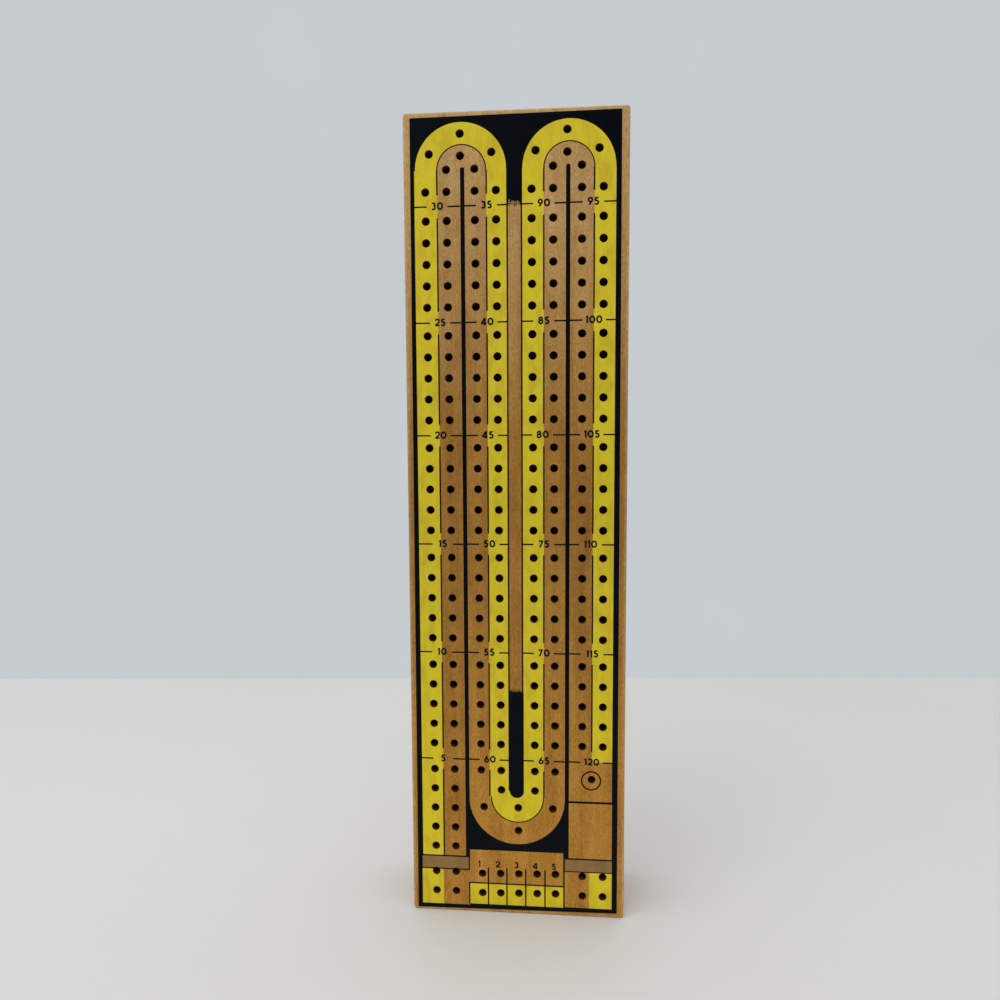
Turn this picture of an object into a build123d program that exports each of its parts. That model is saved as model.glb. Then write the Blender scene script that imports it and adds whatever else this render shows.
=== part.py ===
"""Cribbage box: a drilled playing board over a shallow case, with a drawer for cards and pegs.

Millimetres. The box stands on its START end: Z runs up its length, X across the tracks, and the
playing face looks towards -Y. The origin is the middle of the end that it stands on. The drawer
slides out of the other end, along +Z.
"""

from build123d import *
from build123d.topology import SkipClean
import math
import os

INCH = 25.4

# Case
CASE_WIDTH = 100.8
CASE_LENGTH = 372.0
CASE_DEPTH = 42.0
BOARD_THICK = 12.7
RAIL_THICK = 9.5
END_BLOCK_THICK = 12.7
BACK_THICK = 4.8
BACK_LIP = 4.0            # rail left outside the rabbet that holds the back panel
CORNER_ROUND = 1.6        # rounding of the case's four corners, seen from the front
FACE_ROUND = 1.2          # rounding round the playing face
BACK_ROUND = 1.0          # rounding down the rails' back edges

# Peg holes
HOLE_DIAMETER = 3.57
HOLE_DEPTH = 9.5
HOLE_SIDES = 8            # the track's holes are prisms, to keep so many of them light

# Drilling jig: its origin is on the tracks' centre line, level with the highest straight row
JIG_X = -0.64
JIG_Z = 324.8
JIG_TURN = 0.254          # degrees: the drilled pattern sits slightly askew on the board
ROW_PITCH = 3 / 8 * INCH
GROUP_ROWS = 5
GROUP_PITCH = 2 * INCH
FIRST_GROUPS = 6          # groups in the first street, before its first bend
SHORT_GROUPS = 5          # groups in every other street
TRACK_OFFSET = 15 / 16 * INCH   # a bend's centre, from the centre line
INNER_LANE = 1 / 4 * INCH       # half the gap between a bend's two inner streets
OUTER_LANE = 5 / 8 * INCH       # half the gap between its two outer streets
LEG_RISE = 1 / 2 * INCH         # a bend's first holes, above the highest straight row
ARCH_RISE = 21.7                # a top bend's centre, above the same row
ARCH_SHOULDER = 28.0            # degrees: the outer lane's shoulder holes, above that centre
DIP_SHOULDER = 21.0             # degrees: the bottom bend's shoulder holes, below its centre
DIP_WIDE_DROP = 11.8            # the bottom bend's centre below its first holes, wide lane
DIP_NARROW_DROP = 10.1          # the same for the narrow lane
GAME_HOLE = (34.5, -257.2)      # last hole, in jig coordinates

# Starting and counting holes, two rows each
COUNTER_DROP = 12 * INCH        # their upper row, below the highest straight row
COUNTER_ROW_PITCH = 9.7
GAMES_COUNT = 5
GAMES_PITCH = 11 / 32 * INCH
GAMES_TURN = 1.5                # degrees: this block of holes is drilled askew too

# Drawer
DRAWER_GAP = 0.4          # clearance to the rails, the board and the back panel
DRAWER_END_GAP = 0.3      # clearance to the end block
FRONT_INSET = 0.4         # drawer front below the case's open end
FRONT_THICK = 12.7
FRONT_RABBET = 8.0        # length of each side that laps the front
SIDE_THICK = 5.0
REAR_THICK = 6.4
REAR_INSET = 5.0          # side left beyond the rear's dado
DADO_DEPTH = 2.0
BOTTOM_THICK = 3.2
BOTTOM_LIP = 1.6          # side left outside the bottom's groove
GROOVE_DEPTH = 2.5
JOINT_FIT = 0.05          # air left each side of a panel in its groove or dado
CARD_BAY = 92.0           # length of each card bay
DIVIDER_THICK = 4.8
DIVIDER_DROP = 2.5        # dividers stop short of the sides' open edge
NOTCH_RADIUS = 11.0       # finger notch in the card divider
PULL_WIDTH = 34.0         # finger pull routed into the front
PULL_HEIGHT = 12.0
PULL_DEPTH = 7.5

# Brads
BRAD_DIAMETER = 1.5
BRAD_SIDES = 8
BACK_BRAD_LENGTH = 15.9
BACK_BRADS_PER_RAIL = 5
BACK_BRAD_END = 22.0      # outermost back brads, from either end of the case
END_BRAD_LENGTH = 19.0
CASE_BRAD_EDGE = 6.25     # from a corner's brads to the front and back of the piece between
DRAWER_BRAD_EDGE = 4.5
END_BRAD_SPREAD = 44.0    # gap between the two brads in an end block or drawer rear
DRAWER_BRAD_LENGTH = 14.0

# Pegs
PEG_SLACK = 1.75          # air at each end of a peg, to the drawer side and the centre line
PEG_HEAD_LENGTH = 11.0
PEG_HEAD_DIAMETER = 4.8
PEG_SHANK_DIAMETER = 3.3
PEG_TIP_DIAMETER = 2.0
PEG_TIP_LENGTH = 3.0
PEG_BEVEL = 0.8
PEG_GAP = 0.35            # air between pegs that lie side by side
PEG_SETS = {"brass": -1, "nickel": 1}
PEGS_PER_SET = 3

# Derived places
FRONT_Y = -CASE_DEPTH / 2
BACK_Y = CASE_DEPTH / 2
CAVITY_FRONT_Y = FRONT_Y + BOARD_THICK
CAVITY_BACK_Y = BACK_Y - BACK_THICK
CAVITY_X = CASE_WIDTH / 2 - RAIL_THICK
PANEL_X = CASE_WIDTH / 2 - BACK_LIP
DRAWER_X = CAVITY_X - DRAWER_GAP
DRAWER_TOP_Y = CAVITY_FRONT_Y + DRAWER_GAP
DRAWER_BASE_Y = CAVITY_BACK_Y - DRAWER_GAP
DRAWER_REAR_Z = END_BLOCK_THICK + DRAWER_END_GAP
DRAWER_FACE_Z = CASE_LENGTH - FRONT_INSET
FRONT_INNER_Z = DRAWER_FACE_Z - FRONT_THICK
INSIDE_X = DRAWER_X - SIDE_THICK
BOTTOM_OUTER_Y = DRAWER_BASE_Y - BOTTOM_LIP
BOTTOM_INNER_Y = BOTTOM_OUTER_Y - BOTTOM_THICK
REAR_Z = DRAWER_REAR_Z + REAR_INSET
CARD_DIVIDER_Z = REAR_Z + REAR_THICK + CARD_BAY
PEG_DIVIDER_Z = CARD_DIVIDER_Z + DIVIDER_THICK + CARD_BAY
PEG_LENGTH = INSIDE_X - 2 * PEG_SLACK


def block(x, y, z):
    """A box between two values of each axis, given as pairs."""
    size = [abs(high - low) for low, high in (x, y, z)]
    middle = [(low + high) / 2 for low, high in (x, y, z)]
    return Pos(*middle) * Box(*size)


def mirrored(shape, side):
    """The shape as made, for side 1, or mirrored to the other side of the centre line."""
    return shape if side > 0 else shape.mirror(Plane.YZ)


# ---------------------------------------------------------------- playing board


def arc_holes(x, z, radius, first_angle):
    """Three holes round a bend: the two shoulders and the one between them."""
    angles = [math.radians(degrees) for degrees in (first_angle, 90, 180 - first_angle)]
    side = math.copysign(1, first_angle)
    return [(x + radius * math.cos(a), z + side * radius * abs(math.sin(a))) for a in angles]


def arch_holes(centre_x):
    """One bend at the top: five holes on the outer lane and five on the inner lane."""
    holes = arc_holes(centre_x, ARCH_RISE, OUTER_LANE, ARCH_SHOULDER)
    for side in (-1, 1):
        holes.append((centre_x + side * OUTER_LANE, LEG_RISE))
        holes += [(centre_x + side * INNER_LANE, LEG_RISE + row * ROW_PITCH) for row in (0, 1)]
    holes.append((centre_x, ARCH_RISE + INNER_LANE))
    return holes


def dip_holes():
    """The bend at the bottom, between the two tracks: five holes on each lane."""
    leg_z = -SHORT_GROUPS * GROUP_PITCH
    narrow = TRACK_OFFSET - OUTER_LANE
    wide = TRACK_OFFSET - INNER_LANE
    holes = arc_holes(0, leg_z - DIP_WIDE_DROP, wide, -DIP_SHOULDER)
    for side in (-1, 1):
        holes.append((side * wide, leg_z))
        holes += [(side * narrow, leg_z - row * ROW_PITCH) for row in (0, 1)]
    holes.append((0, leg_z - DIP_NARROW_DROP - narrow))
    return holes


def street_holes():
    """The eight straight streets, in groups of five rows."""
    columns = [
        track * TRACK_OFFSET + side * lane
        for track in (-1, 1)
        for side in (-1, 1)
        for lane in (OUTER_LANE, INNER_LANE)
    ]
    holes = []
    for number, x in enumerate(columns):
        groups = FIRST_GROUPS if number < 2 else SHORT_GROUPS
        for group in range(groups):
            for row in range(GROUP_ROWS):
                holes.append((x, -group * GROUP_PITCH - row * ROW_PITCH))
    return holes


def counter_holes():
    """Starting holes, games holes and corner-count holes along the lower end."""
    holes = []
    for row in (0, 1):
        z = -COUNTER_DROP - row * COUNTER_ROW_PITCH
        for side in (-1, 1):
            holes += [(side * (TRACK_OFFSET + lane), z) for lane in (INNER_LANE, OUTER_LANE)]
        for game in range(GAMES_COUNT):
            x = (game - (GAMES_COUNT - 1) / 2) * GAMES_PITCH
            holes.append((x, z + x * math.tan(math.radians(GAMES_TURN))))
    return holes


def on_board(hole):
    """Jig coordinates to the board's X and Z."""
    x, z = hole
    turn = math.radians(JIG_TURN)
    return (
        JIG_X + x * math.cos(turn) - z * math.sin(turn),
        JIG_Z + x * math.sin(turn) + z * math.cos(turn),
    )


def hole_tool(hole, outline):
    """The material that one hole takes out of the board, from an outline centred on its axis."""
    x, z = on_board(hole)
    return Pos(x, FRONT_Y, z) * Rot(90, 0, 0) * extrude(outline, -HOLE_DEPTH)


def playing_board():
    """Full-width board with every peg hole drilled blind from the front."""
    board = block(
        (-CASE_WIDTH / 2, CASE_WIDTH / 2), (FRONT_Y, CAVITY_FRONT_Y), (0, CASE_LENGTH)
    )
    board = fillet(board.edges().filter_by(Axis.Y), CORNER_ROUND)
    board = fillet(board.faces().sort_by(Axis.Y)[0].edges(), FACE_ROUND)
    track = street_holes() + arch_holes(-TRACK_OFFSET) + arch_holes(TRACK_OFFSET)
    prism = RegularPolygon(HOLE_DIAMETER / 2, HOLE_SIDES, major_radius=False)
    tools = [hole_tool(hole, prism) for hole in track + dip_holes() + counter_holes()]
    tools.append(hole_tool(GAME_HOLE, Circle(HOLE_DIAMETER / 2)))
    with SkipClean():
        return board - tools


# ---------------------------------------------------------------- case


def side_rail(side):
    """A rail under the board's edge, rabbeted inside for the back panel."""
    outer = CASE_WIDTH / 2
    rail = block((CAVITY_X, outer), (CAVITY_FRONT_Y, BACK_Y), (0, CASE_LENGTH))
    rail -= block((CAVITY_X, PANEL_X), (CAVITY_BACK_Y, BACK_Y), (0, CASE_LENGTH))
    rail = fillet(rail.edges().filter_by(Axis.Y).group_by(Axis.X)[-1], CORNER_ROUND)
    rail = fillet(rail.edges().filter_by(Axis.Z).group_by(Axis.X)[-1].sort_by(Axis.Y)[-1], BACK_ROUND)
    return mirrored(rail, side)


def end_block():
    """Closes the case at the end that it stands on."""
    return block((-CAVITY_X, CAVITY_X), (CAVITY_FRONT_Y, CAVITY_BACK_Y), (0, END_BLOCK_THICK))


def back_panel():
    """Thin panel let into the rails' rabbets, flush with their back edges."""
    return block((-PANEL_X, PANEL_X), (CAVITY_BACK_Y, BACK_Y), (0, CASE_LENGTH))


# ---------------------------------------------------------------- drawer


def drawer_front():
    """Front rabbeted for the sides, grooved for the bottom, with a routed finger pull."""
    front = block(
        (-DRAWER_X, DRAWER_X), (DRAWER_TOP_Y, DRAWER_BASE_Y), (FRONT_INNER_Z, DRAWER_FACE_Z)
    )
    for side in (-1, 1):
        front -= block(
            (side * INSIDE_X, side * DRAWER_X),
            (DRAWER_TOP_Y, DRAWER_BASE_Y),
            (FRONT_INNER_Z, FRONT_INNER_Z + FRONT_RABBET),
        )
    front -= block(
        (-INSIDE_X, INSIDE_X),
        (BOTTOM_INNER_Y - JOINT_FIT, BOTTOM_OUTER_Y + JOINT_FIT),
        (FRONT_INNER_Z, FRONT_INNER_Z + GROOVE_DEPTH),
    )
    pull = extrude(SlotOverall(PULL_WIDTH, PULL_HEIGHT), PULL_DEPTH)
    middle_y = (DRAWER_TOP_Y + DRAWER_BASE_Y) / 2
    return front - Pos(0, middle_y, DRAWER_FACE_Z - PULL_DEPTH) * pull


def dado(z, thick):
    """The slot across one drawer side that takes the end of a cross piece."""
    return block(
        (INSIDE_X, INSIDE_X + DADO_DEPTH),
        (DRAWER_TOP_Y, BOTTOM_INNER_Y),
        (z - JOINT_FIT, z + thick + JOINT_FIT),
    )


def drawer_side(side):
    """Side with a groove for the bottom and dados for the rear and the dividers."""
    panel = block(
        (INSIDE_X, DRAWER_X),
        (DRAWER_TOP_Y, DRAWER_BASE_Y),
        (DRAWER_REAR_Z, FRONT_INNER_Z + FRONT_RABBET),
    )
    panel -= block(
        (INSIDE_X, INSIDE_X + GROOVE_DEPTH),
        (BOTTOM_INNER_Y - JOINT_FIT, BOTTOM_OUTER_Y + JOINT_FIT),
        (DRAWER_REAR_Z, FRONT_INNER_Z + FRONT_RABBET),
    )
    panel -= dado(REAR_Z, REAR_THICK)
    panel -= dado(CARD_DIVIDER_Z, DIVIDER_THICK)
    panel -= dado(PEG_DIVIDER_Z, DIVIDER_THICK)
    return mirrored(panel, side)


def cross_piece(z, thick, drop):
    """A piece across the drawer, its ends in the sides' dados, standing on the bottom."""
    reach = INSIDE_X + DADO_DEPTH - JOINT_FIT
    return block((-reach, reach), (DRAWER_TOP_Y + drop, BOTTOM_INNER_Y), (z, z + thick))


def card_divider():
    """The divider between the card bays, notched so that a finger can lift the cards."""
    divider = cross_piece(CARD_DIVIDER_Z, DIVIDER_THICK, DIVIDER_DROP)
    middle_z = CARD_DIVIDER_Z + DIVIDER_THICK / 2
    notch = Pos(0, DRAWER_TOP_Y + DIVIDER_DROP, middle_z) * Cylinder(NOTCH_RADIUS, DIVIDER_THICK * 2)
    return divider - notch


def drawer_bottom():
    """Thin panel in the grooves of the sides and the front, passing under the rear."""
    reach = INSIDE_X + GROOVE_DEPTH - JOINT_FIT
    return block(
        (-reach, reach),
        (BOTTOM_INNER_Y, BOTTOM_OUTER_Y),
        (DRAWER_REAR_Z, FRONT_INNER_Z + GROOVE_DEPTH - JOINT_FIT),
    )


# ---------------------------------------------------------------- brads


def brad(x, y, z, direction, length):
    """One wire nail with its head end at x, y, z, driven in along direction."""
    place = Plane(origin=(x, y, z), z_dir=direction)
    return place * extrude(RegularPolygon(BRAD_DIAMETER / 2, BRAD_SIDES), length)


def back_brads():
    """Through the back panel into the rails and the end block, flush with the back."""
    rail_x = (CAVITY_X + PANEL_X) / 2
    step = (CASE_LENGTH - 2 * BACK_BRAD_END) / (BACK_BRADS_PER_RAIL - 1)
    places = [
        (side * rail_x, BACK_BRAD_END + number * step)
        for side in (-1, 1)
        for number in range(BACK_BRADS_PER_RAIL)
    ]
    places += [(side * END_BRAD_SPREAD / 2, END_BLOCK_THICK / 2) for side in (-1, 1)]
    return [brad(x, BACK_Y, z, (0, -1, 0), BACK_BRAD_LENGTH) for x, z in places]


def corner_brads(outer_x, rows_y, z, length):
    """Two brads on each side, driven inwards through a side into the piece between."""
    return [brad(side * outer_x, y, z, (-side, 0, 0), length) for side in (-1, 1) for y in rows_y]


def end_brads():
    """Through the rails into the end block."""
    rows_y = (CAVITY_FRONT_Y + CASE_BRAD_EDGE, CAVITY_BACK_Y - CASE_BRAD_EDGE)
    return corner_brads(CASE_WIDTH / 2, rows_y, END_BLOCK_THICK / 2, END_BRAD_LENGTH)


def drawer_brads():
    """At the drawer's four corners, and up through the bottom into the rear."""
    rows_y = (DRAWER_TOP_Y + DRAWER_BRAD_EDGE, BOTTOM_INNER_Y - DRAWER_BRAD_EDGE)
    rear_z = REAR_Z + REAR_THICK / 2
    brads = corner_brads(DRAWER_X, rows_y, FRONT_INNER_Z + FRONT_RABBET / 2, DRAWER_BRAD_LENGTH)
    brads += corner_brads(DRAWER_X, rows_y, rear_z, DRAWER_BRAD_LENGTH)
    for side in (-1, 1):
        x = side * END_BRAD_SPREAD / 2
        brads.append(brad(x, BOTTOM_OUTER_Y, rear_z, (0, -1, 0), DRAWER_BRAD_LENGTH))
    return brads


# ---------------------------------------------------------------- pegs


def peg():
    """A turned peg on the Z axis: tapered tip, straight shank, then a bevelled head."""
    neck = PEG_LENGTH - PEG_HEAD_LENGTH
    shank, head, tip = (d / 2 for d in (PEG_SHANK_DIAMETER, PEG_HEAD_DIAMETER, PEG_TIP_DIAMETER))
    profile = Polyline(
        (0, 0), (tip, 0), (shank, PEG_TIP_LENGTH), (shank, neck), (head, neck),
        (head, PEG_LENGTH - PEG_BEVEL), (head - PEG_BEVEL, PEG_LENGTH), (0, PEG_LENGTH), (0, 0),
    )
    return revolve(Rot(90, 0, 0) * make_face(profile), Axis.Z)


def lying_peg(set_side, number):
    """A peg of the set on one side of the peg bay, as it lies with the box on its end.

    It rests on the peg divider, on the rim of its head and the start of its tip's taper.
    """
    head = PEG_HEAD_DIAMETER / 2
    shank = PEG_SHANK_DIAMETER / 2
    lean = math.atan2(head - shank, PEG_LENGTH - PEG_HEAD_LENGTH - PEG_TIP_LENGTH)
    pitch = PEG_HEAD_DIAMETER + PEG_GAP
    middle_y = (DRAWER_TOP_Y + BOTTOM_INNER_Y) / 2
    y = middle_y + (number - (PEGS_PER_SET - 1) / 2) * pitch
    z = PEG_DIVIDER_Z + DIVIDER_THICK + shank * math.cos(lean) - PEG_TIP_LENGTH * math.sin(lean)
    laid = Rot(0, 90 - math.degrees(lean), 0) * peg()
    return mirrored(Pos((INSIDE_X - PEG_LENGTH) / 2, y, z) * laid, set_side)


# ---------------------------------------------------------------- export

os.makedirs("parts", exist_ok=True)

PIECES = {
    "playing_board": playing_board(),
    "side_rail_left": side_rail(-1),
    "side_rail_right": side_rail(1),
    "end_block": end_block(),
    "back_panel": back_panel(),
    "back_brads": Compound(children=back_brads()),
    "end_brads": Compound(children=end_brads()),
    "drawer_front": drawer_front(),
    "drawer_side_left": drawer_side(-1),
    "drawer_side_right": drawer_side(1),
    "drawer_rear": cross_piece(REAR_Z, REAR_THICK, 0),
    "drawer_bottom": drawer_bottom(),
    "card_divider": card_divider(),
    "peg_divider": cross_piece(PEG_DIVIDER_Z, DIVIDER_THICK, DIVIDER_DROP),
    "drawer_brads": Compound(children=drawer_brads()),
}
for finish, set_side in PEG_SETS.items():
    for number in range(PEGS_PER_SET):
        PIECES[f"peg_{finish}_{number + 1}"] = lying_peg(set_side, number)

for name, piece in PIECES.items():
    export_step(piece, f"parts/{name}.step")
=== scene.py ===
"""Cribbage box with drawer: a printed and drilled playing board over a shallow case.

Laid out as an add-on and run as a script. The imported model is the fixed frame. Each operator makes
one piece, or one group of like pieces, and sets it on the frame; the last one makes the stage.
Objects are in metres. The print is drawn in millimetres on a flat sheet, x across the board and z
up it, and is then laid on the playing face, which looks along -Y.
"""

import math
import random

import bmesh
import bpy
from bpy.props import FloatProperty, FloatVectorProperty, IntProperty, PointerProperty
from mathutils import Matrix, Vector
from mathutils.geometry import delaunay_2d_cdt


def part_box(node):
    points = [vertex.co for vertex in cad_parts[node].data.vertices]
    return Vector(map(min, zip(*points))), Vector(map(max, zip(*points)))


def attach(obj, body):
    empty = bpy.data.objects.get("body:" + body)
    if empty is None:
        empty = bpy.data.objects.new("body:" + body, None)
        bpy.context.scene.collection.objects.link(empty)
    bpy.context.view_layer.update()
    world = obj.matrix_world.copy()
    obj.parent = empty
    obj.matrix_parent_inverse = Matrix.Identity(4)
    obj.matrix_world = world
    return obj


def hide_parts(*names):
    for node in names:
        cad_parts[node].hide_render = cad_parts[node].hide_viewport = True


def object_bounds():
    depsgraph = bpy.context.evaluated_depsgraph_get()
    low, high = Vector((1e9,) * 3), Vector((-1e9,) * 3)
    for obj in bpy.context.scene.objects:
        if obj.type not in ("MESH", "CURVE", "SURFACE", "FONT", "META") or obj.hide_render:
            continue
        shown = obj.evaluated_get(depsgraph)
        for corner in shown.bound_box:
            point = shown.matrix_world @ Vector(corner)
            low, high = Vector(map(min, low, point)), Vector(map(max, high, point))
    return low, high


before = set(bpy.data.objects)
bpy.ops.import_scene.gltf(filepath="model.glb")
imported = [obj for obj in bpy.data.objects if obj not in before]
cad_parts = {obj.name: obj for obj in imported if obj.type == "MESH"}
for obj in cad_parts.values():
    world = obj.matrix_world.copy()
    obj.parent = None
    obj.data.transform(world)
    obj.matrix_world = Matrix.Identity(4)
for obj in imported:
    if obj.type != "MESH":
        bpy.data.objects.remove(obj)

bl_info = {
    "name": "Cribbage Box with Drawer",
    "version": (1, 0, 0),
    "blender": (4, 5, 0),
    "location": "3D View > Sidebar > Cribbage Box",
    "description": "Builds a printed cribbage board over a case with a drawer",
    "category": "Object",
}

MM = 0.001
INCH = 25.4
WELD = 1e-6

CAD_LOW, CAD_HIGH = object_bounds()
BOARD_LOW, BOARD_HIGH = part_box("playing_board")
FACE_Y = BOARD_LOW.y

# Rounding and easing of the wooden pieces
CORNER_ROUND = 1.6 * MM  # the board's four corners, seen from the front
FACE_ROUND = 1.2 * MM  # round the playing face
BACK_EASE = 0.2 * MM  # round the board's hidden side
CASE_EASE = 0.25 * MM
DRAWER_FRONT_EASE = 0.5 * MM
DRAWER_EASE = 0.35 * MM
DRAWER_BOTTOM_EASE = 0.15 * MM
ROUND_PROFILE = 0.5
ONE_FACE = math.radians(0.5)  # faces that meet at less than this are one face
HARD_EDGE = math.radians(40)  # edges that turn more than this are eased

# Drills and brads
BIT_START = 1 * MM  # how far in front of the face a drill bit begins
BACK_BRADS_PER_RAIL = 5
BACK_BRAD_END = 22 * MM  # outermost back brads, from either end of the case
MIDDLE_BRAD_X = 22 * MM  # brads into the end block and the drawer's rear, from the middle
CASE_BRAD_EDGE = 6.25 * MM  # from a corner's brads to the edge of the end block
DRAWER_BRAD_EDGE = 4.5 * MM  # the same for the drawer
BACK_BRAD_LENGTH = 15.9 * MM
END_BRAD_LENGTH = 19.0 * MM
DRAWER_BRAD_LENGTH = 14.0 * MM
BRAD_FLATS = 12
BRAD_NECK = -2.0  # top of a brad's plain shank, in heights of its dome
BRAD_HEAD = ((-1.0, 1.0), (0.4, 1.0), (0.85, 0.75), (1.0, 0.35))  # in domes and head radii
STEEL = (0.33, 0.32, 0.31)

# Turning of a peg: heights in bevels, and radii as shares of the part's own radius
PEG_FLATS = 32
PEG_TIP = ((0.0, 0.6), (0.3, 1.0))
PEG_BEAD = ((-0.9, 1.0), (-0.35, 1.06))
PEG_SHOULDER = ((0.0, 0.9), (0.25, 1.0))
PEG_GROOVES = (1.6, 3.4)
PEG_GROOVE = ((0.0, 1.0), (0.25, 0.86), (0.65, 0.86), (0.9, 1.0))
PEG_END = ((-1.0, 1.0), (-0.6, 0.93), (-0.2, 0.8), (0.0, 0.6))
PEGS_PER_SET = 3

# Stage, in metres: the left, right, near and far edges of the table, and the same of the wall
# before it is raised
TABLE = (-2.5, 2.5, -3.0, 0.352)
TABLE_TURN = math.radians(4.6)
WALL = (-4.0, 4.0, -1.5, 3.0)
WALL_DISTANCE = 1.6
SOFT_LAMP = {"place": (-0.55, -0.75, 0.95), "target": (0, 0, 0.16), "size": (0.9, 0.7)}
TOP_LAMP = {"place": (-0.1, 0.12, 1.15), "target": (0, 0.02, 0), "size": (0.9, 0.35)}
CAMERA_PLACE = (28.0 * MM, -399.0 * MM, 233.4 * MM)
CAMERA_AHEAD = (-0.09296, 0.99162, -0.08971)  # where the middle of the picture lies
CAMERA_DOWN = (0.00346, -0.08978, -0.99596)  # down the picture
CAMERA_SENSOR = 36.0
CAMERA_LENS = 29.894

# ---------------------------------------------------------------- sizes and colours


def length(name, description, millimetres):
    """A length property that is shown in scene units."""
    return FloatProperty(
        name=name, description=description, default=millimetres * MM, unit="LENGTH", precision=5
    )


def angle(name, description, degrees):
    """An angle property."""
    return FloatProperty(
        name=name, description=description, default=math.radians(degrees), unit="ROTATION"
    )


def paint(name, description, red, green, blue):
    """A colour property, from the 0 to 255 values that a picture editor shows."""
    values = []
    for value in (red / 255, green / 255, blue / 255):
        # The standard curve of a screen colour, to the straight one that materials use
        values.append(value / 12.92 if value <= 0.04045 else ((value + 0.055) / 1.055) ** 2.4)
    return FloatVectorProperty(
        name=name, description=description, subtype="COLOR", size=3, min=0, max=1, default=values
    )


class DrillingSizes(bpy.types.PropertyGroup):
    """The peg holes and the jig that they were drilled with."""

    diameter: length("Hole diameter", "Bore of every peg hole", 3.57)
    depth: length("Hole depth", "Depth of every peg hole", 9.5)
    lip: length("Lip", "Width of the broken edge round a hole", 0.1)
    sides: IntProperty(name="Sides", description="Flats round a hole", default=24, min=8)
    jig_x: length("Jig centre", "Centre line of the tracks, across the board", -0.64)
    jig_z: length("Jig height", "Highest straight row, above the lower end", 324.8)
    jig_turn: angle("Jig turn", "How far askew the jig sat on the board", 0.254)
    row_pitch: length("Row pitch", "Between two rows of a group", 3 / 8 * INCH)
    group_pitch: length("Group pitch", "Between the first rows of two groups", 2 * INCH)
    track_offset: length("Track offset", "Centre line to the middle of a track", 15 / 16 * INCH)
    inner_lane: length("Inner lane", "Middle of a track to its inner streets", 1 / 4 * INCH)
    outer_lane: length("Outer lane", "Middle of a track to its outer streets", 5 / 8 * INCH)
    games_pitch: length("Games pitch", "Between two games holes", 11 / 32 * INCH)


class PrintSettings(bpy.types.PropertyGroup):
    """The screen printing on the playing face."""

    yellow_proud: length("Yellow ink", "Thickness of the yellow ink", 0.03)
    black_proud: length("Black ink", "Thickness of the black ink", 0.045)
    hairline: length("Hairline", "Width of the lines between lanes", 0.68)
    pen: length("Pen", "Stroke width of the numbers", 0.79)
    digit: length("Digit height", "Height of the count numbers", 3.25)
    yellow: paint("Yellow", "Yellow ink", 213, 194, 36)
    yellow_deep: paint("Yellow, deep", "Yellow ink where it soaked in", 200, 175, 36)
    black: paint("Black", "Black ink", 2, 6, 15)
    black_dusty: paint("Black, dusty", "Black ink near the foot of the board", 9, 16, 20)
    plate: paint("Plate", "Pale ink of the bare plates", 140, 108, 62)


class WoodColours(bpy.types.PropertyGroup):
    """Varnished and plain wood."""

    board_pale: paint("Board, pale", "Varnished board between the growth lines", 182, 132, 50)
    board_deep: paint("Board, deep", "Varnished board in the growth lines", 142, 94, 26)
    faded_pale: paint("Faded, pale", "Board near its upper end, between the lines", 200, 163, 103)
    faded_deep: paint("Faded, deep", "Board near its upper end, in the lines", 168, 130, 74)
    # A painted highlight: the board's rim, paler where light catches its rounding
    worn: paint("Rim highlight", "Board's rim, painted pale as a highlight", 216, 190, 150)
    case_pale: paint("Case, pale", "Rails and drawer front, pale", 188, 146, 82)
    case_deep: paint("Case, deep", "Rails and drawer front, deep", 148, 106, 50)
    drawer_pale: paint("Drawer, pale", "Plain wood inside, pale", 214, 186, 142)
    drawer_deep: paint("Drawer, deep", "Plain wood inside, deep", 183, 148, 100)
    # Drilled wood, rougher than the face, darkened further with painted shade of the deep holes
    bore: paint("Bore", "Wood on the wall of a peg hole, with painted shade", 92, 56, 26)


class PegSizes(bpy.types.PropertyGroup):
    """The turned metal pegs that lie in the drawer."""

    slack: length("Slack", "Air at each end of a peg in its bay", 1.75)
    head_length: length("Head length", "Length of the thick end", 11.0)
    head_diameter: length("Head diameter", "Thickness of the head", 4.8)
    shank_diameter: length("Shank diameter", "Thickness of the shank", 3.3)
    tip_diameter: length("Tip diameter", "Thickness of the tip", 2.0)
    tip_length: length("Tip length", "Length of the taper", 3.0)
    bevel: length("Bevel", "Bevel round the end of the head", 0.8)
    brass: paint("Brass", "Colour of the brass pegs", 214, 172, 92)
    nickel: paint("Nickel", "Colour of the nickel-plated pegs", 205, 202, 194)


class BradSizes(bpy.types.PropertyGroup):
    """The wire brads that hold the case and the drawer."""

    head: length("Head diameter", "Width of a brad's head", 2.0)
    dome: length("Dome", "Height of a brad's head above the wood", 0.12)
    shank: length("Shank diameter", "Thickness of the wire", 1.4)


class StageSettings(bpy.types.PropertyGroup):
    """Floor, backdrop and lamps."""

    floor: paint("Floor", "Pale floor", 229, 228, 226)
    wall: paint("Backdrop", "Pale backdrop", 198, 204, 207)
    lamp: FloatProperty(
        name="Lamp", description="Power of the soft lamp", default=2.6, unit="POWER"
    )
    top_lamp: FloatProperty(
        name="Top lamp", description="Power of the lamp overhead", default=0.9, unit="POWER"
    )
    world: FloatProperty(name="Room light", description="Strength of the room light", default=0.8)


SETTINGS = {
    "cribbage_drilling": DrillingSizes,
    "cribbage_print": PrintSettings,
    "cribbage_wood": WoodColours,
    "cribbage_pegs": PegSizes,
    "cribbage_brads": BradSizes,
    "cribbage_stage": StageSettings,
}

# ---------------------------------------------------------------- node trees


def put(tree, value, socket):
    """Puts a value on a socket, or a link from another socket."""
    if isinstance(value, bpy.types.NodeSocket):
        tree.links.new(value, socket)
    else:
        socket.default_value = value


def add_node(tree, kind, sockets=None, **settings):
    """A new node, with values or links put on its sockets by name or number."""
    node = tree.nodes.new(kind)
    for key, value in settings.items():
        setattr(node, key, value)
    for socket, value in (sockets or {}).items():
        put(tree, value, node.inputs[socket])
    return node


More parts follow.
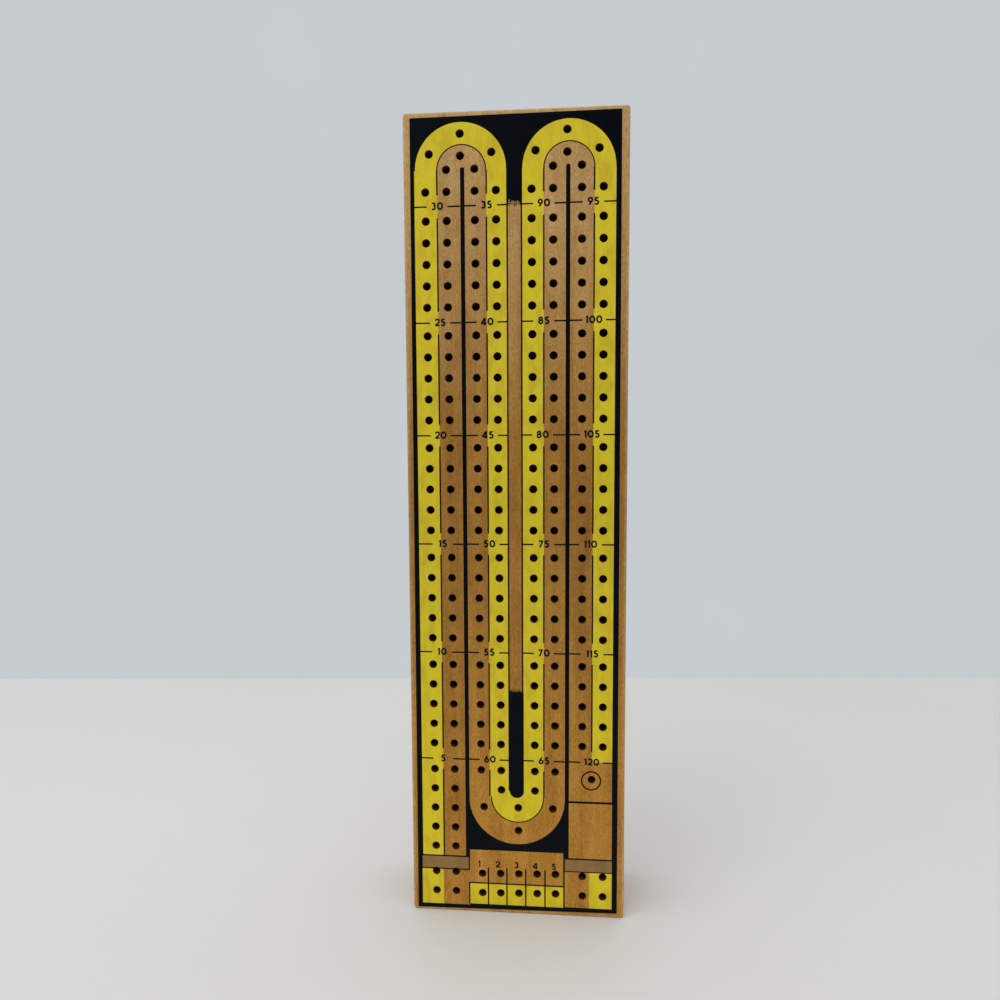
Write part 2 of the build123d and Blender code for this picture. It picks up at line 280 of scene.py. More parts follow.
def maths(tree, operation, first, second=0.0):
    """The result of one sum on two values or sockets."""
    return add_node(tree, "ShaderNodeMath", {0: first, 1: second}, operation=operation).outputs[0]


def times(tree, value, factor):
    """A value or socket multiplied by a factor."""
    return maths(tree, "MULTIPLY", value, factor)


def new_tree(name, lengths, **others):
    """An empty geometry tree with inputs for a geometry, lengths, others by kind and a material."""
    tree = bpy.data.node_groups.new(name, "GeometryNodeTree")
    face = tree.interface
    face.new_socket("Geometry", in_out="OUTPUT", socket_type="NodeSocketGeometry")
    face.new_socket("Geometry", in_out="INPUT", socket_type="NodeSocketGeometry")
    kinds = {label: "Float" for label in lengths} | others | {"Material": "Material"}
    for label, kind in kinds.items():
        socket = face.new_socket(label, in_out="INPUT", socket_type="NodeSocket" + kind)
        if kind == "Float":
            socket.subtype = "DISTANCE"
    return tree, tree.nodes.new("NodeGroupInput"), tree.nodes.new("NodeGroupOutput")


def turned_shape(tree, stations, sides):
    """A closed turned shape on the Z axis, from its heights and radii in order."""
    heights = add_node(tree, "GeometryNodeIndexSwitch", data_type="FLOAT")
    radii = add_node(tree, "GeometryNodeIndexSwitch", data_type="FLOAT")
    number = tree.nodes.new("GeometryNodeInputIndex").outputs[0]
    for switch, place in ((heights, 0), (radii, 1)):
        while len(switch.index_switch_items) < len(stations):
            switch.index_switch_items.new()
        tree.links.new(number, switch.inputs["Index"])
        for row, station in enumerate(stations):
            put(tree, station[place], switch.inputs[row + 1])
    place = add_node(tree, "ShaderNodeCombineXYZ", {"Z": heights.outputs[0]})
    points = add_node(tree, "GeometryNodePoints", {"Count": len(stations), "Position": place.outputs[0]})
    curve = add_node(tree, "GeometryNodePointsToCurves", {"Points": points.outputs[0]})
    thick = add_node(
        tree, "GeometryNodeSetCurveRadius", {"Curve": curve.outputs[0], "Radius": radii.outputs[0]}
    )
    ring = add_node(tree, "GeometryNodeCurvePrimitiveCircle", {"Resolution": sides, "Radius": 1.0})
    skin = add_node(
        tree,
        "GeometryNodeCurveToMesh",
        {"Curve": thick.outputs[0], "Profile Curve": ring.outputs[0], "Fill Caps": True},
    )
    if "Scale" in skin.inputs:
        tree.links.new(tree.nodes.new("GeometryNodeInputRadius").outputs[0], skin.inputs["Scale"])
    return skin.outputs[0]


def repeat_on_points(tree, given, result, shape, smooth):
    """Stands the shape on every given point, its Z axis along the point's facing."""
    facing = add_node(
        tree, "GeometryNodeInputNamedAttribute", {"Name": "facing"}, data_type="FLOAT_VECTOR"
    )
    turn = add_node(
        tree, "FunctionNodeAlignRotationToVector", {"Vector": facing.outputs[0]}, axis="Z"
    )
    copies = add_node(
        tree,
        "GeometryNodeInstanceOnPoints",
        {"Points": given.outputs["Geometry"], "Instance": shape, "Rotation": turn.outputs[0]},
    )
    real = add_node(tree, "GeometryNodeRealizeInstances", {"Geometry": copies.outputs[0]})
    eased = add_node(
        tree, "GeometryNodeSetShadeSmooth", {"Geometry": real.outputs[0], "Shade Smooth": smooth}
    )
    finished = add_node(
        tree,
        "GeometryNodeSetMaterial",
        {"Geometry": eased.outputs[0], "Material": given.outputs["Material"]},
    )
    tree.links.new(finished.outputs[0], result.inputs[0])


def drilled_holes_tree():
    """Drill bits at every hole, each a little wider at the mouth."""
    tree, given, result = new_tree("drilled_holes", ["Diameter", "Depth", "Lip"], Sides="Int")
    radius = times(tree, given.outputs["Diameter"], 0.5)
    wide = maths(tree, "ADD", radius, given.outputs["Lip"])
    stations = [
        (times(tree, given.outputs["Depth"], -1.0), radius),
        (times(tree, given.outputs["Lip"], -1.0), radius),
        (0.0, wide),
        (BIT_START, wide),
    ]
    shape = turned_shape(tree, stations, given.outputs["Sides"])
    repeat_on_points(tree, given, result, shape, False)
    return tree


def brads_tree():
    """Wire brads with low domed heads."""
    tree, given, result = new_tree("wire_brads", ["Head", "Dome", "Shank", "Length"])
    head, shank = (times(tree, given.outputs[name], 0.5) for name in ("Head", "Shank"))
    dome = given.outputs["Dome"]
    stations = [
        (times(tree, given.outputs["Length"], -1.0), shank),
        (times(tree, dome, BRAD_NECK), shank),
    ]
    stations += [(times(tree, dome, rise), times(tree, head, share)) for rise, share in BRAD_HEAD]
    repeat_on_points(tree, given, result, turned_shape(tree, stations, BRAD_FLATS), False)
    return tree


def peg_tree():
    """A turned peg from its tip to the bevelled end of its head, with a bead and two grooves."""
    sizes = ["Length", "Head Length", "Head", "Shank", "Tip", "Tip Length", "Bevel"]
    tree, given, result = new_tree("turned_peg", sizes)
    whole = given.outputs["Length"]
    neck = maths(tree, "SUBTRACT", whole, given.outputs["Head Length"])
    head, shank, tip = (times(tree, given.outputs[name], 0.5) for name in ("Head", "Shank", "Tip"))
    stations = []

    def turn(start, radius, profile, first=0.0):
        for rise, share in profile:
            above = times(tree, given.outputs["Bevel"], first + rise)
            stations.append((maths(tree, "ADD", start, above), times(tree, radius, share)))

    turn(0.0, tip, PEG_TIP)
    stations.append((given.outputs["Tip Length"], shank))
    turn(neck, shank, PEG_BEAD)
    turn(neck, head, PEG_SHOULDER)
    for first in PEG_GROOVES:
        turn(neck, head, PEG_GROOVE, first)
    turn(whole, head, PEG_END)
    repeat_on_points(tree, given, result, turned_shape(tree, stations, PEG_FLATS), True)
    return tree


# ---------------------------------------------------------------- meshes and pieces


def new_object(name, mesh):
    """An object for a mesh, linked to the scene."""
    thing = bpy.data.objects.new(name, mesh)
    bpy.context.scene.collection.objects.link(thing)
    return thing


def as_object(name, shape):
    """An object from a bmesh, which is freed."""
    mesh = bpy.data.meshes.new(name)
    shape.to_mesh(mesh)
    shape.free()
    return new_object(name, mesh)


def plain_mesh(thing):
    """Turns what an object's modifiers make into its own plain mesh."""
    bpy.context.view_layer.update()
    graph = bpy.context.evaluated_depsgraph_get()
    mesh = bpy.data.meshes.new_from_object(thing.evaluated_get(graph))
    thing.modifiers.clear()
    old = thing.data
    thing.data = mesh
    mesh.name = thing.name
    bpy.data.meshes.remove(old)
    return thing


def repeated(name, tree, places, values):
    """A plain piece with the tree's shape at every place, given as (point, facing)."""
    mesh = bpy.data.meshes.new(name)
    mesh.from_pydata([point for point, facing in places], [], [])
    facings = mesh.attributes.new("facing", "FLOAT_VECTOR", "POINT")
    for row, (point, facing) in zip(facings.data, places):
        row.vector = facing
    thing = new_object(name, mesh)
    modifier = thing.modifiers.new(tree.name, "NODES")
    modifier.node_group = tree
    for item in tree.interface.items_tree:
        if item.in_out == "INPUT" and item.name in values:
            modifier[item.identifier] = values[item.name]
    plain_mesh(thing)
    if "facing" in thing.data.attributes:
        thing.data.attributes.remove(thing.data.attributes["facing"])
    return thing


def crisp(thing, degrees=32):
    """Smooth shading with the edges sharper than an angle kept crisp."""
    thing.data.polygons.foreach_set("use_smooth", [True] * len(thing.data.polygons))
    thing.data.set_sharp_from_angle(angle=math.radians(degrees))
    return thing


def finished(thing, body, slot, nodes=(), material=None):
    """Gives a piece its material, stands it for its CAD nodes and sets it on its body. The slot is not
    used.
    """
    if material is not None:
        thing.data.materials.clear()
        thing.data.materials.append(material)
    if nodes:
        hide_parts(*nodes)
    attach(thing, body)
    return thing


def rounded_edges(shape, edges, width, segments, clamp=False):
    """Rounds some of a shape's edges. With clamp, a round stops where it meets another."""
    bmesh.ops.bevel(
        shape,
        geom=edges,
        offset=width,
        segments=segments,
        profile=ROUND_PROFILE,
        affect="EDGES",
        clamp_overlap=clamp,
    )


def softened(node, name, width, body, slot, material):
    """A copy of a CAD node with its hard edges eased, as sanded wood has."""
    shape = bmesh.new()
    shape.from_mesh(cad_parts[node].data)
    bmesh.ops.remove_doubles(shape, verts=shape.verts, dist=WELD)
    bmesh.ops.dissolve_limit(shape, angle_limit=ONE_FACE, verts=shape.verts, edges=shape.edges)
    hard = [
        edge
        for edge in shape.edges
        if len(edge.link_faces) == 2
        and edge.is_convex
        and edge.calc_face_angle(0.0) > HARD_EDGE
    ]
    rounded_edges(shape, hard, width, 2, clamp=True)
    return finished(crisp(as_object(name, shape)), body, slot, (node,), material)


# ---------------------------------------------------------------- materials


# Tones up the board, at shares of its height: paler near its upper end, lighter near the foot and darker
# in the middle
FADING = ((0.6, 0.0), (0.95, 0.9))
BOARD_TONES = ((0.05, 1.2), (0.2, 1.08), (0.5, 0.8), (0.75, 0.92), (1.0, 0.94))
YELLOW_TONES = ((0.1, 1.06), (0.25, 1.0), (0.5, 0.9), (0.85, 0.96))
FOOT_BLEND = ((0.0, 1.0), (0.5, 0.0))

# Marks in the wood: how wide they are across the grain and how long along it
GROWTH_MARKS = (7 * MM, 110 * MM)
CLOUD_MARKS = (7 * MM, 12 * MM)
FIBRE_WIDTH = 0.5 * MM
FIBRE_SHARE = 0.4  # of the fibres in the figure; the rest is growth lines
PORE_WIDTH = 0.4 * MM
FIGURE_DEEP, FIGURE_PALE = 0.32, 0.68  # noise at which the wood is all deep or all pale
CLOUD_TINTS = ((0.3, (0.93, 0.87, 0.72)), (0.5, (1.0, 1.0, 1.0)), (0.7, (1.06, 1.08, 1.2)))

# Fibres and flecks: the fibres' length, and the darkest and the lightest fleck's tone
BOARD_FLECKS = (6 * MM, 0.62, 1.26)
CASE_FLECKS = (26 * MM, 0.78, 1.1)

# Painted highlight along the board's edges: a pale rim where light catches the rounding
HIGHLIGHT_FULL_TO = 1.1 * MM  # from the rim, with the most painted highlight
HIGHLIGHT_END = 2.8 * MM  # from the rim, where the painted highlight ends
HIGHLIGHT_MOST = 0.34
HIGHLIGHT_SCATTER = 2 * MM
HIGHLIGHT_MARKS = (1.5 * MM, 4 * MM)

# Plies, through the thickness of a panel from 0 to 1
CORE_PLY = ((0.0, 0.0), (0.3, 0.0), (0.32, 1.0), (0.68, 1.0), (0.7, 0.0))
GLUE_LINES = ((0.28, 0.0), (0.31, 0.8), (0.34, 0.0), (0.66, 0.0), (0.69, 0.8), (0.72, 0.0))

# Marks in the ink: how wide they are across the grain and how long along it
BLOTCHES = (5 * MM, 11 * MM)
TELLING_GRAIN = (0.55 * MM, 18 * MM)
SPECKS = (0.8 * MM, 0.9 * MM)
INK_ROUGHNESS = 0.36

# Marks in the metal
STAINS = (2.4 * MM, 5 * MM)
TOOL_MARKS = (0.25 * MM, 0.6 * MM)


def shaded(colour, share):
    """A colour made darker, or lighter, by a share."""
    return [value * share for value in colour]


def new_finish(name, roughness, gloss=0.5):
    """A new material's tree, its shader and the place of a point in object coordinates."""
    material = bpy.data.materials.new(name)
    material.use_nodes = True
    tree = material.node_tree
    shader = tree.nodes["Principled BSDF"]
    shader.inputs["Roughness"].default_value = roughness
    shader.inputs["Specular IOR Level"].default_value = gloss
    place = tree.nodes.new("ShaderNodeTexCoord").outputs["Object"]
    return material, tree, shader, place


def drawn_noise(tree, place, across, along, grain, seed, detail=3.0, distortion=0.0):
    """Noise whose marks are this wide across the grain and this long along it, in metres."""
    stretch = [1 / across] * 3
    stretch["XYZ".index(grain)] = 1 / along
    mapped = add_node(
        tree,
        "ShaderNodeMapping",
        {"Vector": place, "Scale": stretch, "Location": (seed, seed * 1.7, seed * 0.6)},
    )
    return add_node(
        tree,
        "ShaderNodeTexNoise",
        {
            "Vector": mapped.outputs[0],
            "Scale": 1.0,
            "Detail": detail,
            "Roughness": 0.55,
            "Distortion": distortion,
        },
    ).outputs[0]


def blended_value(tree, first, second, share):
    """Two values mixed, with this share of the second."""
    return maths(tree, "ADD", times(tree, first, 1 - share), times(tree, second, share))


def ramp(tree, factor, stops):
    """A colour for each value of a factor, from stops of a place and a colour."""
    node = add_node(tree, "ShaderNodeValToRGB", {0: factor})
    bands = node.color_ramp.elements
    while len(bands) < len(stops):
        bands.new(1.0)
    for band, (place, colour) in zip(bands, stops):
        band.position = place
        band.color = (*colour, 1.0) if hasattr(colour, "__len__") else (colour, colour, colour, 1.0)
    return node.outputs[0]


def blended(tree, factor, first, second, blend="MIX"):
    """Two colours mixed by a factor."""
    node = add_node(tree, "ShaderNodeMix", {0: factor}, data_type="RGBA", blend_type=blend)
    for socket, value in ((6, first), (7, second)):
        linked = isinstance(value, bpy.types.NodeSocket)
        put(tree, value if linked else (*value, 1.0), node.inputs[socket])
    return node.outputs[2]


def ranged(tree, value, low, high, start=0.0, end=1.0):
    """A value brought from between start and end to between two others."""
    sockets = {"Value": value, "From Min": start, "From Max": end, "To Min": low, "To Max": high}
    return add_node(tree, "ShaderNodeMapRange", sockets).outputs[0]


def dressed(tree, shader, colour, roughness, height, distance, strength=0.6):
    """Gives a shader its colour, its roughness and a bump of this height and distance."""
    sockets = {"Height": height, "Distance": distance, "Strength": strength}
    put(tree, colour, shader.inputs["Base Color"])
    put(tree, roughness, shader.inputs["Roughness"])
    put(tree, add_node(tree, "ShaderNodeBump", sockets).outputs[0], shader.inputs["Normal"])


def coordinate(tree, place, axis):
    """One coordinate of a place."""
    return add_node(tree, "ShaderNodeSeparateXYZ", {0: place}).outputs[axis]


def up_the_board(tree, place, stops):
    """A tone or colour that changes from the foot of the board, 0, to its upper end, 1."""
    return ramp(tree, ranged(tree, coordinate(tree, place, "Z"), 0.0, 1.0, end=BOARD_HIGH.z), stops)


def wood_colour(tree, place, pale, deep, grain, seed, faded=None, worn=None):
    """The colour of wood, and its fibres alone. Faded wood has short flecks and uneven tones."""
    reach, darkest, lightest = BOARD_FLECKS if faded else CASE_FLECKS
    growth = drawn_noise(tree, place, *GROWTH_MARKS, grain, seed, detail=3.0, distortion=0.7)
    fibres = drawn_noise(tree, place, FIBRE_WIDTH, reach, grain, seed + 3, detail=4.0)
    pores = drawn_noise(tree, place, PORE_WIDTH, reach / 4, grain, seed + 7, detail=3.0)
    clouds = drawn_noise(tree, place, *CLOUD_MARKS, grain, seed + 17, detail=2.0)
    figure = blended_value(tree, growth, fibres, FIBRE_SHARE)
    colour = ramp(tree, figure, [(FIGURE_DEEP, deep), (FIGURE_PALE, pale)])
    if faded:
        bleached = ramp(tree, figure, [(FIGURE_DEEP, faded[1]), (FIGURE_PALE, faded[0])])
        colour = blended(tree, up_the_board(tree, place, FADING), colour, bleached)
        colour = blended(tree, 1.0, colour, up_the_board(tree, place, BOARD_TONES), "MULTIPLY")
        colour = blended(tree, 1.0, colour, ramp(tree, clouds, CLOUD_TINTS), "MULTIPLY")
    # Painted highlight: the rim of the board made paler where light catches its rounding
    if worn:
        colour = blended(tree, edge_wear(tree, place), colour, worn)
    flecks = ramp(tree, pores, [(0.28, darkest), (0.5, 1.0), (0.74, lightest)])
    return blended(tree, 1.0, colour, flecks, "MULTIPLY"), fibres


def edge_wear(tree, place):
    """How much painted highlight the board's edges get: most at the rim, none a few millimetres in."""
    x, z = (coordinate(tree, place, axis) for axis in "XZ")
    from_side = maths(tree, "SUBTRACT", BOARD_HIGH.x, maths(tree, "ABSOLUTE", x))
    from_end = maths(tree, "MINIMUM", z, maths(tree, "SUBTRACT", BOARD_HIGH.z, z))
    uneven = times(tree, drawn_noise(tree, place, *HIGHLIGHT_MARKS, "Z", 40.0), HIGHLIGHT_SCATTER)
    near = maths(tree, "ADD", maths(tree, "MINIMUM", from_side, from_end), uneven)
    return ranged(tree, near, HIGHLIGHT_MOST, 0.0, HIGHLIGHT_FULL_TO, HIGHLIGHT_END)


def wood(name, pale, deep, grain, seed, roughness=0.42, faded=None, worn=None):
    """Solid wood: the pattern goes right through, so end grain and faces agree."""
    material, tree, shader, place = new_finish(name, roughness, gloss=0.22)
    colour, fibres = wood_colour(tree, place, pale, deep, grain, seed, faded, worn)
    rough = ranged(tree, fibres, roughness - 0.07, roughness + 0.1)
    dressed(tree, shader, colour, rough, fibres, 0.05 * MM)
    return material


def plywood(name, pale, deep, low_y, high_y, seed):
    """Three plies glued across each other, so the edges show their layers."""
    material, tree, shader, place = new_finish(name, 0.6, gloss=0.2)
    outer, fibres = wood_colour(tree, place, pale, deep, "Z", seed)
    core, _ = wood_colour(tree, place, deep, shaded(deep, 0.62), "X", seed + 11)
    through = ranged(tree, coordinate(tree, place, "Y"), 0.0, 1.0, low_y, high_y)
    colour = blended(tree, ramp(tree, through, CORE_PLY), outer, core)
    colour = blended(tree, ramp(tree, through, GLUE_LINES), colour, shaded(deep, 0.3))
    dressed(tree, shader, colour, ranged(tree, fibres, 0.5, 0.7), fibres, 0.06 * MM)
    return material


def ink(name, colour, deep, speck, amount, gloss, foot=None):
    """Screen ink on wood: blotchy where it soaked in, with the grain telling through.

    The ink is bare, in the speck's colour, in about this amount of its specks. With a foot colour
    it is lighter and greyer near the foot of the board, and otherwise its tone changes up the board.
    """
    material, tree, shader, place = new_finish(name, INK_ROUGHNESS, gloss)
    blotches = drawn_noise(tree, place, *BLOTCHES, "Z", 2.0, detail=3.0, distortion=0.4)
    fibres = drawn_noise(tree, place, *TELLING_GRAIN, "Z", 4.0, detail=4.0)
    specks = drawn_noise(tree, place, *SPECKS, "Z", 9.0, detail=2.0)
    tone = blended_value(tree, blotches, fibres, 0.2)
    base = ramp(tree, tone, [(0.36, deep), (0.56, colour)])
    if foot:
        base = blended(tree, up_the_board(tree, place, FOOT_BLEND), base, foot)
    else:
        base = blended(tree, 1.0, base, up_the_board(tree, place, YELLOW_TONES), "MULTIPLY")
    spots = ramp(tree, specks, [(amount, 1.0), (amount + 0.08, 0.0)])
    rough = ranged(tree, tone, INK_ROUGHNESS - 0.06, INK_ROUGHNESS + 0.12)
    dressed(tree, shader, blended(tree, spots, base, speck), rough, fibres, 0.03 * MM, 0.5)
    return material


def metal(name, colour, roughness, tarnish):
    """Turned metal with a thin, uneven tarnish."""
    material, tree, shader, place = new_finish(name, roughness)
    shader.inputs["Metallic"].default_value = 1.0
    stain = drawn_noise(tree, place, *STAINS, "Z", 5.0, detail=4.0, distortion=0.5)
    marks = drawn_noise(tree, place, *TOOL_MARKS, "X", 8.0, detail=2.0)
    amount = times(tree, ramp(tree, stain, [(0.35, 1.0), (0.62, 0.0)]), tarnish)
    rough = ranged(tree, stain, roughness + 0.18, roughness - 0.04)
    tarnished = blended(tree, amount, colour, shaded(colour, 0.45))
    dressed(tree, shader, tarnished, rough, marks, 0.006 * MM, 0.4)
    return material


# ---------------------------------------------------------------- peg holes


# The drilling jig's fixed sizes, in millimetres and degrees. Its origin is on the tracks' centre
# line, level with the highest straight row.
GROUP_ROWS = 5
FIRST_GROUPS = 6  # groups in the first street, before its first bend
SHORT_GROUPS = 5  # groups in every other street
LEG_RISE = 1 / 2 * INCH  # a bend's first holes, above the highest straight row
ARCH_RISE = 21.7  # a top bend's centre, above the same row
ARCH_SHOULDER = 28  # the outer lane's shoulder holes, above that centre
DIP_SHOULDER = 21  # the bottom bend's shoulder holes, below its centre
DIP_WIDE_DROP = 11.8  # the bottom bend's centre below its first holes, wide lane
DIP_NARROW_DROP = 10.1  # the same for the narrow lane
GAME_HOLE = (34.5, -257.2)
COUNTER_DROP = 12 * INCH  # upper row of starting and counting holes, below the highest row
COUNTER_ROW_PITCH = 9.7
GAMES_COUNT = 5
GAMES_TURN = 1.5  # how far askew the games holes were drilled


def bend_holes(x, z, radius, first, way):
    """Three holes round a bend: its two shoulders and the one between them."""
    turns = [math.radians(degrees) for degrees in (first, 90, 180 - first)]
    return [(x + radius * math.cos(turn), z + way * radius * math.sin(turn)) for turn in turns]


def peg_holes(sizes):
    """Every peg hole's x and z on the board, in millimetres."""
    names = ("track_offset", "inner_lane", "outer_lane", "row_pitch", "group_pitch", "games_pitch")
    track, inner, outer, row_pitch, group_pitch, games_pitch = (
        getattr(sizes, name) / MM for name in names
    )
    found = [GAME_HOLE]
    for middle in (-track, track):
        found += bend_holes(middle, ARCH_RISE, outer, ARCH_SHOULDER, 1)
        found.append((middle, ARCH_RISE + inner))
        for side in (-1, 1):
            found.append((middle + side * outer, LEG_RISE))
            found += [(middle + side * inner, LEG_RISE + row * row_pitch) for row in (0, 1)]
            for lane in (outer, inner):
                x = middle + side * lane
                groups = FIRST_GROUPS if x < -track else SHORT_GROUPS
                for group in range(groups):
                    for row in range(GROUP_ROWS):
                        found.append((x, -group * group_pitch - row * row_pitch))
    leg = -SHORT_GROUPS * group_pitch
    found += bend_holes(0, leg - DIP_WIDE_DROP, track - inner, DIP_SHOULDER, -1)
    found.append((0, leg - DIP_NARROW_DROP - (track - outer)))
    for side in (-1, 1):
        found.append((side * (track - inner), leg))
        found += [(side * (track - outer), leg - row * row_pitch) for row in (0, 1)]
    for row in (0, 1):
        z = -COUNTER_DROP - row * COUNTER_ROW_PITCH
        found += [(side * (track + lane), z) for side in (-1, 1) for lane in (inner, outer)]
        for game in range(GAMES_COUNT):
            x = (game - (GAMES_COUNT - 1) / 2) * games_pitch
            found.append((x, z + x * math.tan(math.radians(GAMES_TURN))))
    cos, sin = math.cos(sizes.jig_turn), math.sin(sizes.jig_turn)
    return [
        (sizes.jig_x / MM + x * cos - z * sin, sizes.jig_z / MM + x * sin + z * cos)
        for x, z in found
    ]


# ---------------------------------------------------------------- the print, on a flat sheet

ARC_STEPS = 48
CAP_STEPS = 12  # round the end of a bar
SLOT_STEPS = 24  # round the end of the slot
RING_SIDES = 45
MITRE_LIMIT = 0.5  # a pen line's corner spreads to at most its width over this
INK_GAP = 0.02  # between the ink and a hole's broken edge
INK_SINK = 0.01 * MM  # how far a layer of ink reaches into the wood
MERGE = 1e-5  # points of the sheet nearer than this are one

# What each outline does to the sheet. Where outlines overlap, the highest one wins, and the sheet
# has no ink where that is bare wood or a hole.
PANEL, BARE, YELLOW, PLATE, LINE, HOLE = range(6)
INK_OF = {PANEL: "black", YELLOW: "yellow", PLATE: "plate", LINE: "black"}

# Places on the sheet. A rectangle is left, right, low and high; an arc is x, z and radius.
PANEL_CORNERS = ((-48.0, 1.25), (47.2, 2.4), (46.8, 370.2), (-47.1, 369.6))
FIELD = (-45.35, 44.5)
TRACK_EDGES = (-4.0, 3.1)
ARCHES = ((-24.5, 346.75, 20.45), (23.8, 346.4, 20.6))
ARCH_LINES = ((-24.1, 346.55, 11.0), (23.9, 346.3, 11.2))
DIP = (-0.15, 57.4, 22.65)
DIP_LINE = (0.15, 58.0, 12.35)
SLOT = (-0.1, 60.9, 3.35)
BARS = ((-24.6, -22.7), (22.5, 24.4))
BAR_TOP = 347.8
LANE_LINES = (-35.1, -12.9, 12.65, 35.0)
LINE_GAP = 5.0  # in a lane line, above and below a row of counts
LINE_FEET = (27.9, 58.0, 58.0, 76.0)
LABEL_ROWS = (331.1, 279.8, 228.85, 178.7, 127.6, 75.9)
ROW_RISE = 0.004  # of a row of counts, for each millimetre across the board
NUMBER_RISE = 0.27  # of the numbers over the ticks beside them
# How far some numbers were set off their line
NUMBER_SHIFTS = {15: 0.9, 20: 0.45, 25: 0.75, 50: 0.45, 80: -0.55, 95: -0.5, 105: -0.7, 110: -1.0}
TICK_GAPS = {1: 4.7, 2: 4.7, 3: 5.2}  # from a number's middle to its ticks, by its count of digits
# The counts beside each lane line, from the top down, and the edges that their ticks reach
COUNTS = (
    (30, 25, 20, 15, 10, 5),
    (35, 40, 45, 50, 55, 60),
    (90, 85, 80, 75, 70, 65),
    (95, 100, 105, 110, 115, 120),
)
COUNT_EDGES = ((-45.7, -24.7), (-22.9, -4.0), (3.1, 22.5), (24.3, 44.5))
SPINE = (-3.3, 2.4, 109.0, 331.6)
LANE_FOOT = 27.9
LAST_COUNT_Z = 76.2
GAME_FIELD = (24.3, 44.5, 57.0, 76.5)
GAME_RING = (34.75, 67.2, 4.4)
LABEL_PLATE = (24.3, 44.6, 28.9, 56.0)
START_PLATE = (-45.7, -23.4, 21.4, 27.2)
START_BOXES = (-45.8, -35.5, -22.8, 3.4, 20.8)
CORNER_PLATE = (22.6, 44.7, 22.5, 28.2)
CORNER_BOXES = (22.3, 34.1, 44.7, 4.4, 22.0)
GAMES_BLOCK = (-22.8, 22.1, 14.6, 31.2)
GAMES_YELLOW = (-22.8, 22.1, 4.1, 14.6)
GAMES_SIDES = (-23.0, 22.2)
GAMES_SHELF = (-23.2, 22.3)
GAMES_LINES = (-13.9, -5.0, 4.0, 13.2)
GAMES_LINE_TOP = 22.5
GAMES_DIGITS = (-18.2, -9.4, -0.4, 8.5, 17.4)
GAMES_DIGIT_Z = 24.3
GAMES_DIGIT = 0.94  # height of the games numbers, as a share of the counts' height
GAMES_PEN = 0.84  # how much finer the games numbers are drawn
FINE = 0.76  # how much finer the arcs are drawn
DIGIT_GAP = 0.22  # between digits, as a share of their height


def rectangle(left, right, low, high):
    """The four corners of a rectangle."""
    return [(left, low), (right, low), (right, high), (left, high)]


def arc(x, z, radius, start, end, steps=ARC_STEPS):
    """Points along an arc, its angles in degrees."""
    turns = [math.radians(start + (end - start) * step / steps) for step in range(steps + 1)]
    return [(x + radius * math.cos(turn), z + radius * math.sin(turn)) for turn in turns]


def ring_round(hole, radius, sides):
    """The outline of a hole, its flats where the drill's are."""
    return arc(*hole, radius, 0, 360 - 360 / sides, sides - 1)


def half_ring(outside, inside, start, end):
    """A bend of a lane, between two arcs."""
    return arc(*outside, start, end) + arc(*inside, end, start)


def stroke(points, width, closed=False):
    """A pen line as a chain of four-sided patches."""
    count = len(points)
    sides = []
    for row in range(count):
        before = points[(row - 1) % count] if closed or row else points[row]
        after = points[(row + 1) % count] if closed or row < count - 1 else points[row]
        ways = []
        for (x0, z0), (x1, z1) in ((before, points[row]), (points[row], after)):
            reach = math.hypot(x1 - x0, z1 - z0)
            if reach > MERGE:
                ways.append(Vector((-(z1 - z0) / reach, (x1 - x0) / reach)))
        normal = sum(ways, Vector((0, 0))).normalized()
        spread = width / 2 / max(MITRE_LIMIT, normal.dot(ways[0]))
        here = Vector(points[row])
        sides.append((tuple(here + normal * spread), tuple(here - normal * spread)))
    last = count if closed else count - 1
    return [
        [sides[row][0], sides[row][1], sides[(row + 1) % count][1], sides[(row + 1) % count][0]]
        for row in range(last)
    ]


def digit_strokes(digit):
    """The pen lines of one digit that is one unit high, and its width."""
    lines = {
        "0": [([(0.37 + 0.31 * x, 0.5 + 0.41 * z) for x, z in arc(0, 0, 1, 0, 345, 23)], True)],
        "1": [([(0.02, 0.76), (0.2, 0.9)], False), ([(0.2, 1.0), (0.2, 0.0)], False)],
        "2": [
            (arc(0.32, 0.67, 0.25, 170, -38, 12) + [(0.07, 0.09)], False),
            ([(0.04, 0.09), (0.62, 0.09)], False),
        ],
        "3": [
            (arc(0.28, 0.7, 0.21, 150, -88, 12), False),
            (arc(0.28, 0.3, 0.23, 88, -150, 12), False),
        ],
        "4": [
            ([(0.54, 0.0), (0.54, 1.0)], False),
            ([(0.54, 0.96), (0.06, 0.28)], False),
            ([(0.0, 0.24), (0.74, 0.24)], False),
        ],
        "5": [
            ([(0.13, 0.91), (0.54, 0.91)], False),
            ([(0.17, 0.95), (0.12, 0.5)], False),
            (arc(0.29, 0.31, 0.24, 130, -150, 14), False),
        ],
        "6": [(arc(0.34, 0.32, 0.25, 0, 342, 19), True), ([(0.47, 1.0), (0.13, 0.45)], False)],
        "7": [([(0.02, 0.91), (0.58, 0.91)], False), ([(0.54, 0.93), (0.18, 0.0)], False)],
        "8": [(arc(0.33, 0.71, 0.2, 0, 340, 17), True), (arc(0.33, 0.3, 0.24, 0, 342, 19), True)],
        "9": [(arc(0.34, 0.68, 0.25, 0, 342, 19), True), ([(0.55, 0.55), (0.21, 0.0)], False)],
    }[digit]
    widths = {"0": 0.74, "1": 0.28, "4": 0.74, "6": 0.66, "8": 0.66, "9": 0.66}
    return lines, widths.get(digit, 0.6)


def number_patches(text, x, z, height, pen):
    """A number centred on a point, as patches of pen line."""
    drawn = [digit_strokes(digit) for digit in text]
    whole = sum(width for _, width in drawn) + DIGIT_GAP * (len(drawn) - 1)
    left = x - whole * height / 2
    patches = []
    for lines, width in drawn:
        for points, closed in lines:
            placed = [(left + u * height, z + (v - 0.5) * height) for u, v in points]
            patches += stroke(placed, pen, closed)
        left += (width + DIGIT_GAP) * height
    return patches


